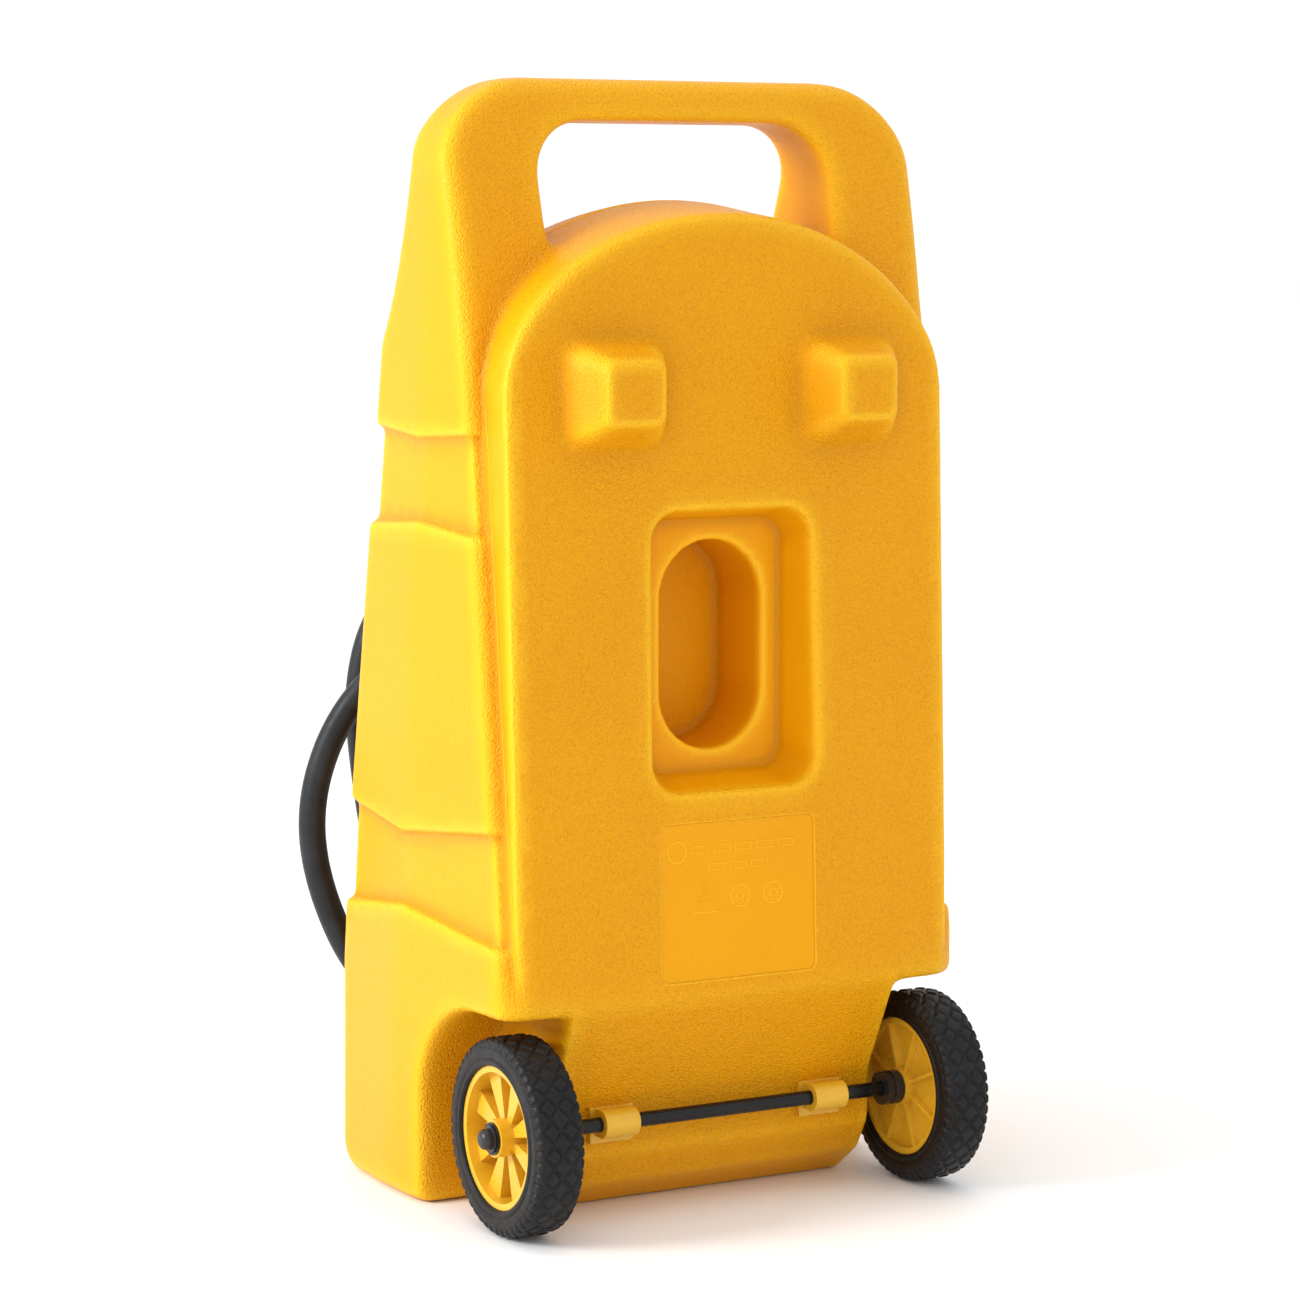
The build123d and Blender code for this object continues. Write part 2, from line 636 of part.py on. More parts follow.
def valve_lever():
    """Lever, hanging down when the valve is shut."""
    back, front = OUTLET_Y - 24, OUTLET_Y - 30
    lever = along_y(VALVE_X, OUTLET_Z, 9.5, front, back)
    arm = Plane((VALVE_X, back, OUTLET_Z - 26), x_dir=(1, 0, 0), z_dir=(0, -1, 0))
    lever += extrude(arm * RectangleRounded(13, 52, 6), back - front)
    return lever - along_y(VALVE_X, OUTLET_Z, STEM_R, front - 1, back + 1)


def lever_screw():
    """Screw that keeps the lever on the stem."""
    return along_y(VALVE_X, OUTLET_Z, 6, OUTLET_Y - 33, OUTLET_Y - 30)


def hose_tail():
    """Hexagon tail between the valve and the hose."""
    high = VALVE_BODY_X[1]
    tail = hexagon_x(high, 14, 5) + along_x(OUTLET_Y, OUTLET_Z, 9, high, HOSE_START_X)
    return tail - along_x(OUTLET_Y, OUTLET_Z, 6.5, high - 1, HOSE_START_X + 1)


# ------------------------------------------------------------------ hand pump
PUMP = Plane(
    (0, front_y(PUMP_BASE_Z) + PUMP_BEHIND_FRONT, PUMP_BASE_Z),
    x_dir=(1, 0, 0),
    z_dir=(0, math.sin(LEAN), math.cos(LEAN)),
)


def pump_tube(outer, inner, low, high):
    """Tube on the pump's axis."""
    return stub(PUMP, outer, low, high) - stub(PUMP, inner, low - 1, high + 1)


def port_frame():
    """Frame of the inlet port, which leaves the foot downwards and forwards."""
    start = PUMP.origin + PUMP.z_dir * PORT_W
    return Plane(start, x_dir=PUMP.x_dir.cross(Vector(*PORT_DIRECTION)), z_dir=PORT_DIRECTION)


def pump_barrel():
    """Plain barrel."""
    return pump_tube(BARREL_R, BARREL_BORE_R, *BARREL_W)


def pump_foot():
    """Foot with the barrel's socket, the inlet boss and the spout's socket."""
    low, high = FOOT_W
    foot = stub(PUMP, 19.5, low, high)
    foot += stub(port_frame(), 11, 0, 34)
    foot -= stub(PUMP, BARREL_R, BARREL_W[0], high + 1)
    foot -= stub(PUMP, 10, low + 12, BARREL_W[0] + 1)
    foot -= stub(PUMP, 6.5, low - 1, low + 13)
    return foot - stub(port_frame(), 6, 0, 35)


def valve_flap(low, radius, on_port):
    """Rubber one-way flap."""
    place = port_frame() if on_port else PUMP
    return stub(place, radius, low, low + 1.5)


def pump_port():
    """Hose tail on the inlet boss."""
    place = port_frame()
    port = stub(place, 12, 34, 38) + stub(place, 8.5, 38, PORT_LENGTH)
    return port - stub(place, 6, 33, PORT_LENGTH + 1)


def pump_spout():
    """Spout that points down the channel, with a slanted tip."""
    top = FOOT_W[0]
    spout = stub(PUMP, 12, top - 6, top) + stub(PUMP, 9, SPOUT_END_W, top - 6)
    spout -= stub(PUMP, 6.5, SPOUT_END_W - 1, top + 1)
    return spout - PUMP * Pos(0, 0, SPOUT_END_W - 6) * Rot(30, 0, 0) * Box(40, 40, 20)


def pump_gland():
    """Screwed gland that closes the barrel and guides the rod."""
    top = BARREL_W[1]
    gland = stub(PUMP, 20, top - 12, top + 12)
    for step in range(16):
        gland -= PUMP * Rot(0, 0, 22.5 * step) * Pos(20.6, 0, top) * Cylinder(1.6, 30)
    gland -= stub(PUMP, BARREL_R, top - 13, top)
    return gland - stub(PUMP, ROD_R + FIT, top - 1, top + 13)


def pump_piston():
    """Piston with a groove for its ring."""
    low, high = PISTON_W
    piston = stub(PUMP, BARREL_BORE_R - 2 * FIT, low, high)
    return piston - pump_tube(BARREL_BORE_R + 1, 10.5, low + 6, high - 6)


def piston_ring():
    """Ring in the piston's groove."""
    return pump_tube(BARREL_BORE_R - FIT, 10.5, PISTON_W[0] + 6, PISTON_W[1] - 6)


def pump_rod():
    """Rod from the piston to the handle."""
    return stub(PUMP, ROD_R, PISTON_W[1], HANDLE_W - 8)


def pump_handle():
    """T handle with round ends."""
    place = PUMP * Pos(0, 0, HANDLE_W)
    bar = place * Rot(0, 90, 0) * Cylinder(8, 74)
    for end in (-37, 37):
        bar += place * Pos(end, 0, 0) * Sphere(8)
    bar += stub(PUMP, 10, HANDLE_W - 16, HANDLE_W + 2)
    return bar - stub(PUMP, ROD_R, HANDLE_W - 17, HANDLE_W - 8)


def pump_clip(middle):
    """Snap clip from the channel's floor round the barrel, open to the front."""
    floor = (CHANNEL_DEPTH - PUMP_BEHIND_FRONT) * math.cos(LEAN) - 0.1
    clip = stub(PUMP, BARREL_R + 4, middle - 7, middle + 7)
    clip += PUMP * Pos(0, (BARREL_R + floor) / 2, middle) * Box(14, floor - BARREL_R, 14)
    clip += PUMP * Pos(0, floor - 1.5, middle) * Box(44, 3, 20)
    clip -= stub(PUMP, BARREL_R, middle - 12, middle + 12)
    return clip - PUMP * Pos(0, -16, middle) * Box(20, 20, 30)


# ------------------------------------------------------------------ hose
def hose_points():
    """The hose's route, from the valve's tail round the hook and up to the pump."""
    port = port_frame()
    end = port.origin + port.z_dir * PORT_LENGTH
    return [
        (HOSE_START_X, OUTLET_Y, OUTLET_Z),
        (110, -212, 105),
        (176, -222, 150),
        (212, -234, 236),
        (218, -234, 312),
        (192, -218, 390),
        (132, -200, 444),
        (56, -194, 460),
        (-28, -193, 446),
        (-96, -198, 398),
        (-133, -206, 318),
        (-132, -214, 236),
        (-95, -222, 175),
        (-31, -231, 142),
        (52, -237, 143),
        (116, -242, 184),
        (149, -246, 254),
        (161, -247, 330),
        (168, -245, 402),
        (152, -234, 470),
        tuple(end + port.z_dir * 86),
        tuple(end),
    ]


def bend_radii(points):
    """Each bend's radius: 0.45 of the shorter run over the tangent of half the turn."""
    radii = []
    for before, corner, after in zip(points, points[1:], points[2:]):
        arriving = Vector(*corner) - Vector(*before)
        leaving = Vector(*after) - Vector(*corner)
        turn = math.radians(arriving.get_angle(leaving))
        radii.append(0.45 * min(arriving.length, leaving.length) / math.tan(turn / 2))
    return radii


def hose():
    """The hose as straight runs joined by arcs."""
    points = hose_points()
    radii = bend_radii(points)
    path = FilletPolyline(*points, radius=radii)
    start = Plane(points[0], x_dir=(0, 1, 0), z_dir=Vector(*points[1]) - Vector(*points[0]))
    tube = sweep(start * Circle(HOSE_R), path=path)
    share = tube.volume / (math.pi * HOSE_R**2 * path.length)
    print("hose bends, mm:", [round(radius) for radius in radii])
    print("hose length, mm:", round(path.length), "volume share:", round(share, 4))
    return tube


def hose_clamps():
    """Two band clamps with their screw housings."""
    valve_end = Plane((HOSE_START_X, OUTLET_Y, OUTLET_Z), x_dir=(0, 1, 0), z_dir=(1, 0, 0))
    port = port_frame()
    pump_end = Plane(port.origin + port.z_dir * PORT_LENGTH, x_dir=port.x_dir, z_dir=port.z_dir)
    clamps = []
    for place in (valve_end, pump_end):
        band = stub(place, HOSE_R + 1.4, 4, 14)
        band += place * Pos(HOSE_R + 3.5, 0, 9) * Box(6, 12, 8)
        clamps.append(band - stub(place, HOSE_R + 0.05, 0, 20))
    return Compound(clamps)


def hose_hook():
    """Hook on the tank's front that carries the loop of hose."""
    x, z = HOOK_AT
    face_y = front_y(z)
    plate = Pos(x, face_y - 2.2, z) * Rot(-math.degrees(LEAN), 0, 0) * Box(34, 4, 52)
    arm = along_y(x, z, 5, HOOK_TIP_Y, face_y - 2)
    tip = Pos(x, HOOK_TIP_Y, z + 11) * Cylinder(5, 22)
    return plate + arm + Pos(x, HOOK_TIP_Y, z) * Sphere(5) + tip + Pos(x, HOOK_TIP_Y, z + 22) * Sphere(5)


# ------------------------------------------------------------------ all pieces
def pieces():
    """Every node's name and solid."""
    nodes = {
        "tank_shell": tank_shell(),
        "filler_cap": filler_cap(),
        "cap_gasket": cap_gasket(),
        "vent_knob": vent_knob(),
        "vent_seal": vent_seal(),
        "axle": axle(),
        "outlet_elbow": outlet_elbow(),
        "outlet_gasket": outlet_gasket(),
        "outlet_nut": outlet_nut(),
        "outlet_strainer": outlet_strainer(),
        "valve_body": valve_body(),
        "valve_ball": valve_ball(),
        "valve_stem": valve_stem(),
        "valve_lever": valve_lever(),
        "lever_screw": lever_screw(),
        "hose_tail": hose_tail(),
        "hose": hose(),
        "hose_clamps": hose_clamps(),
        "hose_hook": hose_hook(),
        "pump_barrel": pump_barrel(),
        "pump_foot": pump_foot(),
        "outlet_flap": valve_flap(FOOT_W[0] + 12, 9.5, False),
        "inlet_flap": valve_flap(24, 5.9, True),
        "pump_port": pump_port(),
        "pump_spout": pump_spout(),
        "pump_gland": pump_gland(),
        "pump_piston": pump_piston(),
        "piston_ring": piston_ring(),
        "pump_rod": pump_rod(),
        "pump_handle": pump_handle(),
        "pump_clip_lower": pump_clip(84),
        "pump_clip_upper": pump_clip(144),
    }
    for name, side in (("left", 1), ("right", -1)):
        nodes["tyre_" + name] = on_side(side, tyre())
        nodes["rim_" + name] = on_side(side, rim())
        nodes["wheel_bush_" + name] = on_side(side, wheel_bush())
        nodes["axle_collar_" + name] = on_side(side, axle_collar())
        nodes["hub_washer_" + name] = on_side(side, hub_washer())
        nodes["hub_cap_" + name] = on_side(side, hub_cap())
        nodes["axle_clip_" + name] = on_side(side, axle_clip())
    return nodes


os.makedirs("parts", exist_ok=True)
for node, solid in pieces().items():
    export_step(solid, f"parts/{node}.step")
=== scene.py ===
"""Looks of a wheeled fuel caddy, in metres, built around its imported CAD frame."""
import json
import math

import bmesh
import bpy
import numpy as np
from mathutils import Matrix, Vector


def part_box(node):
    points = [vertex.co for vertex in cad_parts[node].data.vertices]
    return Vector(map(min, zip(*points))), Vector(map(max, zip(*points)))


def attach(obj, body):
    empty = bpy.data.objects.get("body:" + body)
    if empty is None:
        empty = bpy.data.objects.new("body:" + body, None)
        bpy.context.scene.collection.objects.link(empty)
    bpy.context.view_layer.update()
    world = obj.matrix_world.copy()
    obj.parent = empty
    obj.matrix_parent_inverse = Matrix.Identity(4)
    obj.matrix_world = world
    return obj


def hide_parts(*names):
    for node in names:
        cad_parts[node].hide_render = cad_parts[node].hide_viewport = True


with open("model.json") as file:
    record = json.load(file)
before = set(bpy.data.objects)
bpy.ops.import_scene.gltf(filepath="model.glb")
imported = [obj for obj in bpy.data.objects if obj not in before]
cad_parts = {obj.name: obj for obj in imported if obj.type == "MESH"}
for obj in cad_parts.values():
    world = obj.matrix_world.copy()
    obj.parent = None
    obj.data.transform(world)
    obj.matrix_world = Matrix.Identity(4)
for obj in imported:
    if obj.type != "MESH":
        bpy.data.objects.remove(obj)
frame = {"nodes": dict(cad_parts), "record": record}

import openvdb
from mathutils import Vector
from mathutils.geometry import delaunay_2d_cdt

NODES = frame["nodes"]
SCENE = bpy.context.scene
MM = 0.001
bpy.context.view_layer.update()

# Camera: where the object is seen from, in the frame
CAMERA_AT = (1.60004, 2.77183, 0.79843)
CAMERA_YAW = 29.72
CAMERA_DOWN = 6.27
CAMERA_LENS = 108.4

# Colours, linear
YELLOW = (0.82, 0.355, 0.0008)
# Painted highlight on the tank's convex edges, the plate's rim, the plate marks and the parting seam
PAINTED_HIGHLIGHT_YELLOW = (0.95, 0.53, 0.015)
# Darker yellow: the tank's slow random drift, and painted shade in its creases, at the plate's foot
# and in the grain's valleys
SHADE_AND_DRIFT_YELLOW = (0.55, 0.21, 0.0005)
RIM_YELLOW = (0.74, 0.42, 0.02)
BLACK_RUBBER = (0.005, 0.005, 0.0055)

# Tank
VOXEL = 2.2 * MM
BAND_VOXELS = 10
SOFTENING = (1.5 * MM, 2.5 * MM, 5.5 * MM)   # blur in the window, in general, and on the handle
ADAPTIVITY = 0.01
# Blur and depth that set the painted highlight on edges and the painted shade in creases
BULGE_BLUR = 4 * MM
BULGE = 1.0 * MM      # how far a full edge lies off its blurred surface
NECK_BORE_R = 22.5 * MM
VENT_BORE_R = 4.0 * MM
NECK_WELL = 40 * MM
VENT_WELL = 30 * MM
OUTLET_BORE_R = 12.3 * MM
SHOULDER_NORMAL = Vector((0, -111, 84)).normalized()

# Rear face of the core, with its window, marking plate and rest pads
REAR_AT = (99.3 * MM, 656 * MM)     # a point of the rear face: y, z
REAR_SLOPE = 0.035
WINDOW_Z = 458 * MM
PLATE_Z = 257 * MM
PLATE_HALF = (72 * MM, 64 * MM)
PLATE_R = 7 * MM
PLATE_DEPTH = 1.6 * MM
PATCH_MARGIN = 5 * MM
PAD_AT = (108 * MM, 662 * MM)
MARK_R = 0.6 * MM
MARK_SUNK = 0.1 * MM

# Mould parting line
FLANK_REAR = (64 * MM, 636 * MM)    # a point of the flanks' rear edge: y, z
FLANK_REAR_SLOPE = 0.10
SEAM_R = 0.55 * MM
SEAM_DOME_Y = 2 * MM
SEAM_DOME_HALF = 118 * MM
SEAM_SIDE_Z = (200 * MM, 652 * MM)
SEAM_BEHIND = 4 * MM

# Wheels
AXLE_YZ = (88.6 * MM, 80 * MM)
TYRE_MIDDLE = 189.5 * MM
TREAD_PITCHES = 26
STEPS_PER_PITCH = 24

# Hose: the route's points, from the valve's tail round the hook and up to the pump
HOSE_R = 11.5 * MM
HOSE_ROUTE = [
    (0.030, -0.212, 0.105),
    (0.110, -0.212, 0.105),
    (0.176, -0.222, 0.150),
    (0.212, -0.234, 0.236),
    (0.218, -0.234, 0.312),
    (0.192, -0.218, 0.390),
    (0.132, -0.200, 0.444),
    (0.056, -0.194, 0.460),
    (-0.028, -0.193, 0.446),
    (-0.096, -0.198, 0.398),
    (-0.133, -0.206, 0.318),
    (-0.132, -0.214, 0.236),
    (-0.095, -0.222, 0.175),
    (-0.031, -0.231, 0.142),
    (0.052, -0.237, 0.143),
    (0.116, -0.242, 0.184),
    (0.149, -0.246, 0.254),
    (0.161, -0.247, 0.330),
    (0.168, -0.245, 0.402),
    (0.152, -0.234, 0.470),
    (0.0995, -0.1857, 0.5413),
    (0.0375, -0.1384, 0.5775),
]


# ---------------------------------------------------------------- camera and stage
def make_camera():
    data = bpy.data.cameras.new("camera")
    data.lens = CAMERA_LENS
    data.sensor_width = 36
    camera = bpy.data.objects.new("camera", data)
    camera.location = CAMERA_AT
    camera.rotation_euler = (math.radians(90 - CAMERA_DOWN), 0, math.radians(180 - CAMERA_YAW))
    SCENE.collection.objects.link(camera)
    SCENE.camera = camera


def area_light(name, at, aim, size, power, colour=(1, 1, 1)):
    data = bpy.data.lights.new(name, "AREA")
    data.shape = "DISK"
    data.size = size
    data.energy = power
    data.color = colour
    light = bpy.data.objects.new(name, data)
    light.location = at
    light.rotation_euler = (Vector(aim) - Vector(at)).to_track_quat("-Z", "Y").to_euler()
    SCENE.collection.objects.link(light)


def make_lights():
    """Large soft key from the +X side, a weak top light, and a white surround."""
    middle = (0, 0, 0.45)
    area_light("key", (3.0, -0.35, 1.6), middle, 1.3, 80)
    area_light("top", (0.3, 0.2, 3.2), middle, 2.0, 10)
    world = bpy.data.worlds.new("surround")
    SCENE.world = world
    world.use_nodes = True
    surround = world.node_tree.nodes["Background"]
    surround.inputs["Color"].default_value = (1, 1, 1, 1)
    surround.inputs["Strength"].default_value = 1.06
    SCENE.view_settings.view_transform = "Standard"


def make_floor():
    """A wide pale floor that is white enough to run into the surround."""
    data = bpy.data.meshes.new("floor")
    reach = 40
    corners = [(-reach, -reach, 0), (reach, -reach, 0), (reach, reach, 0), (-reach, reach, 0)]
    data.from_pydata(corners, [], [(0, 1, 2, 3)])
    floor = bpy.data.objects.new("floor", data)
    SCENE.collection.objects.link(floor)
    white = bpy.data.materials.new("floor_white")
    white.use_nodes = True
    shader = white.node_tree.nodes["Principled BSDF"]
    shader.inputs["Base Color"].default_value = (0.96, 0.96, 0.96, 1)
    shader.inputs["Roughness"].default_value = 0.6
    data.materials.append(white)


# ---------------------------------------------------------------- materials
class Recipe:
    """A material's node tree with short calls for what every finish here needs."""

    def __init__(self, name, colour, roughness, **shader_values):
        self.material = bpy.data.materials.new(name)
        self.material.use_nodes = True
        self.tree = self.material.node_tree
        self.shader = self.tree.nodes["Principled BSDF"]
        self.colour = colour
        self.roughness = roughness
        self.shader.inputs["Base Color"].default_value = (*colour, 1)
        self.shader.inputs["Roughness"].default_value = roughness
        for socket, value in shader_values.items():
            self.shader.inputs[socket.replace("_", " ")].default_value = value
        self.place = self.add("ShaderNodeTexCoord").outputs["Object"]
        self.normal = None

    def add(self, kind, **values):
        """A node, with its inputs set by name or linked to a socket."""
        made = self.tree.nodes.new(kind)
        for name, value in values.items():
            socket = made.inputs[name.replace("_", " ")]
            if isinstance(value, bpy.types.NodeSocket):
                self.tree.links.new(value, socket)
            else:
                socket.default_value = value
        return made

    def noise(self, scale, detail=3.0, stretch=None):
        """Noise from 0 to 1; stretch squeezes it along the axes, for brushed or drawn metal."""
        place = self.place
        if stretch:
            place = self.add("ShaderNodeMapping", Vector=place, Scale=stretch).outputs["Vector"]
        made = self.add("ShaderNodeTexNoise", Vector=place, Scale=scale, Detail=detail)
        return made.outputs["Fac"]

    def remap(self, value, low, high, to_low, to_high):
        """A value's range moved to another, and held there."""
        made = self.add("ShaderNodeMapRange", Value=value)
        for index, number in zip((1, 2, 3, 4), (low, high, to_low, to_high)):
            made.inputs[index].default_value = number
        return made.outputs["Result"]

    def mix(self, share, first, second):
        """Two colours mixed by a share; each is a socket or a colour."""
        made = self.tree.nodes.new("ShaderNodeMix")
        made.data_type = "RGBA"
        for index, value in ((0, share), (6, first), (7, second)):
            if isinstance(value, bpy.types.NodeSocket):
                self.tree.links.new(value, made.inputs[index])
            else:
                made.inputs[index].default_value = (*value, 1) if index else value
        return made.outputs[2]

    def times(self, first, second):
        made = self.tree.nodes.new("ShaderNodeMath")
        made.operation = "MULTIPLY"
        for index, value in enumerate((first, second)):
            if isinstance(value, bpy.types.NodeSocket):
                self.tree.links.new(value, made.inputs[index])
            else:
                made.inputs[index].default_value = value
        return made.outputs["Value"]

    def bump(self, height, depth, strength=1.0):
        """Adds relief of that depth in metres over the relief there is."""
        made = self.add("ShaderNodeBump", Height=height, Distance=depth, Strength=strength)
        if self.normal:
            self.tree.links.new(self.normal, made.inputs["Normal"])
        self.normal = made.outputs["Normal"]

    def attribute(self, name):
        """A value painted on the mesh; 0 on a piece without it."""
        made = self.add("ShaderNodeAttribute")
        made.attribute_name = name
        return made.outputs["Fac"]

    def round_edges(self, radius):
        """Rounds the look of sharp edges, and returns a mask that is 1 on them."""
        made = self.add("ShaderNodeBevel", Radius=radius)
        made.samples = 4
        self.normal = made.outputs["Normal"]
        flat = self.add("ShaderNodeNewGeometry").outputs["Normal"]
        cosine = self.tree.nodes.new("ShaderNodeVectorMath")
        cosine.operation = "DOT_PRODUCT"
        self.tree.links.new(made.outputs["Normal"], cosine.inputs[0])
        self.tree.links.new(flat, cosine.inputs[1])
        return self.remap(cosine.outputs["Value"], 0.99, 0.85, 0, 1)

    def tone(self, spread, scale, wear=None, worn=None):
        """Slow drift of the colour, and a worn colour where the wear mask says."""
        dark = [channel * (1 - spread) for channel in self.colour]
        light = [min(1, channel * (1 + spread)) for channel in self.colour]
        colour = self.mix(self.remap(self.noise(scale, 4), 0.35, 0.65, 0, 1), dark, light)
        if wear:
            patchy = self.times(wear, self.remap(self.noise(scale * 9, 5), 0.4, 0.6, 0.1, 1))
            colour = self.mix(patchy, colour, worn)
        self.tree.links.new(colour, self.shader.inputs["Base Color"])

    def gloss(self, spread, scale):
        """Patchy roughness."""
        low, high = self.roughness - spread, self.roughness + spread
        value = self.remap(self.noise(scale, 5), 0.3, 0.7, low, high)
        self.tree.links.new(value, self.shader.inputs["Roughness"])

    def done(self):
        if self.normal:
            self.tree.links.new(self.normal, self.shader.inputs["Normal"])
        return self.material


def tank_plastic():
    """Blow-moulded polyethylene: pebble grain with painted shade in its valleys, and lighter edges
    and darker creases painted on the mesh as painted highlight and painted shade.
    """
    look = Recipe("tank_plastic", YELLOW, 0.36, Specular_IOR_Level=0.15)
    look.gloss(0.06, 240)
    grain = look.attribute("grain")
    tone = look.attribute("tone")
    pebbles = look.add("ShaderNodeTexVoronoi", Vector=look.place, Scale=620.0)
    pebbles.feature = "SMOOTH_F1"
    valleys = look.times(pebbles.outputs["Distance"], grain)
    drift = look.remap(look.noise(7, 4), 0.35, 0.65, 0, 0.12)
    colour = look.mix(drift, YELLOW, SHADE_AND_DRIFT_YELLOW)
    # Painted shade in the pebble grain's valleys
    colour = look.mix(look.remap(valleys, 0.25, 0.75, 0, 0.35), colour, SHADE_AND_DRIFT_YELLOW)
    # Painted highlight: lighter where the tone is under 1, on convex edges and the plate's rim, and
    # fully on the plate marks and parting seam, which carry no tone
    colour = look.mix(look.remap(tone, 0.1, 1, 0.65, 0), colour, PAINTED_HIGHLIGHT_YELLOW)
    # Painted shade: darker where the tone is over 1, in creases and at the plate's foot
    colour = look.mix(look.remap(tone, 1, 2, 0, 0.7), colour, SHADE_AND_DRIFT_YELLOW)
    look.tree.links.new(colour, look.shader.inputs["Base Color"])
    look.bump(valleys, -1.6 * MM, 0.9)
    look.bump(look.times(look.noise(1100, 3), grain), 0.4 * MM, 0.6)
    look.bump(look.noise(22, 2), 0.4 * MM, 0.4)
    return look.done()


def moulded(name, colour, roughness, worn, grain=900, spread=0.06):
    """Injection-moulded plastic: fine grain, soft edges that are a little worn."""
    look = Recipe(name, colour, roughness, Specular_IOR_Level=0.5)
    edges = look.round_edges(0.5 * MM)
    look.tone(spread, 30, edges, worn)
    look.gloss(0.07, 160)
    look.bump(look.noise(grain, 4), 0.12 * MM, 0.5)
    look.bump(look.noise(60, 2), 0.25 * MM, 0.4)
    return look.done()


def rubber(name, colour, roughness, grain, dusty):
    """Rubber: faint dust in patches and a fine matte grain."""
    look = Recipe(name, colour, roughness, Specular_IOR_Level=0.25)
    patches = look.remap(look.noise(45, 6), 0.45, 0.75, 0, 0.5)
    look.tone(0.25, 25, patches, dusty)
    look.gloss(0.08, 110)
    look.bump(look.noise(grain, 5), 0.18 * MM, 0.6)
    return look.done()


def metal(name, colour, roughness, worn, stretch, relief=0.05):
    """Drawn or turned metal: fine lines along one axis and bright edges."""
    look = Recipe(name, colour, roughness, Metallic=1.0)
    edges = look.round_edges(0.35 * MM)
    look.tone(0.08, 40, edges, worn)
    value = look.remap(look.noise(220, 4, stretch), 0.3, 0.7, roughness - 0.08, roughness + 0.1)
    look.tree.links.new(value, look.shader.inputs["Roughness"])
    look.bump(look.noise(700, 3, stretch), relief * MM, 0.5)
    return look.done()


def coated_metal():
    """Black enamel on steel, rubbed to grey on the edges."""
    look = Recipe("black_metal", (0.006, 0.006, 0.007), 0.24, Specular_IOR_Level=0.3)
    edges = look.round_edges(0.4 * MM)
    look.tone(0.2, 35, edges, (0.07, 0.07, 0.075))
    look.gloss(0.08, 130)
    look.bump(look.noise(380, 3), 0.08 * MM, 0.5)
    return look.done()


def make_materials():
    nylon_worn = (0.92, 0.91, 0.88)
    return {
        "tank_plastic": tank_plastic(),
        "clip_plastic": moulded("clip_plastic", RIM_YELLOW, 0.3, (0.95, 0.62, 0.12)),
        "tyre_rubber": rubber("tyre_rubber", BLACK_RUBBER, 0.45, 1300, (0.022, 0.022, 0.022)),
        "hose_rubber": rubber("hose_rubber", (0.014, 0.015, 0.018), 0.44, 1700, (0.03, 0.03, 0.032)),
        "seal_rubber": rubber("seal_rubber", (0.02, 0.02, 0.02), 0.6, 1500, (0.05, 0.05, 0.05)),
        "black_plastic": moulded("black_plastic", (0.012, 0.012, 0.014), 0.33, (0.05, 0.05, 0.053)),
        "black_metal": coated_metal(),
        "steel": metal("steel", (0.56, 0.56, 0.57), 0.3, (0.78, 0.78, 0.78), (1, 1, 0.05)),
        "brass": metal("brass", (0.72, 0.5, 0.2), 0.27, (0.88, 0.7, 0.4), (0.05, 1, 1)),
        "chrome": metal("chrome", (0.78, 0.78, 0.79), 0.1, (0.9, 0.9, 0.9), (1, 0.05, 1), 0.01),
        "red_plastic": moulded("red_plastic", (0.55, 0.02, 0.012), 0.36, (0.75, 0.2, 0.15)),
        "white_plastic": moulded("white_plastic", (0.8, 0.79, 0.74), 0.42, nylon_worn),
        "grey_plastic": moulded("grey_plastic", (0.06, 0.06, 0.065), 0.35, (0.16, 0.16, 0.165)),
    }


def slot_of_nodes():
    """Each CAD node's material slot, from the record."""
    return {part["node"]: part["material_slot"] for part in frame["record"]["subparts"]}


# ---------------------------------------------------------------- tank
def rear_y(z):
    """Y of the core's rear face at height z."""
    return REAR_AT[0] + (REAR_AT[1] - z) * REAR_SLOPE


def middle_of(node):
    low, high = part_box(node)
    return (low + high) / 2


def tank_bores():
    """The tank's holes as (point on the axis, axis, radius, reach along the axis)."""
    along_y = Vector((0, 1, 0))
    return [
        (middle_of("cap_gasket"), SHOULDER_NORMAL, NECK_BORE_R, 60 * MM),
        (middle_of("vent_seal"), SHOULDER_NORMAL, VENT_BORE_R, 60 * MM),
        (middle_of("outlet_nut"), along_y, OUTLET_BORE_R, 40 * MM),
    ]


def lies_on_bore(face, bores):
    """Whether a face belongs to the wall of a bore."""
    centre = face.calc_center_median()
    for point, axis, radius, reach in bores:
        offset = centre - point
        along = offset.dot(axis)
        around = offset - along * axis
        turned_in = abs(face.normal.dot(axis)) < 0.2
        if abs(along) < reach and abs(around.length - radius) < 0.06 * radius and turned_in:
            return True
    return False


def connected_to(start):
    """Every vertex joined to this one by edges."""
    found, waiting = {start}, [start]
    while waiting:
        for edge in waiting.pop().link_edges:
            for vertex in edge.verts:
                if vertex not in found:
                    found.add(vertex)
                    waiting.append(vertex)
    return found


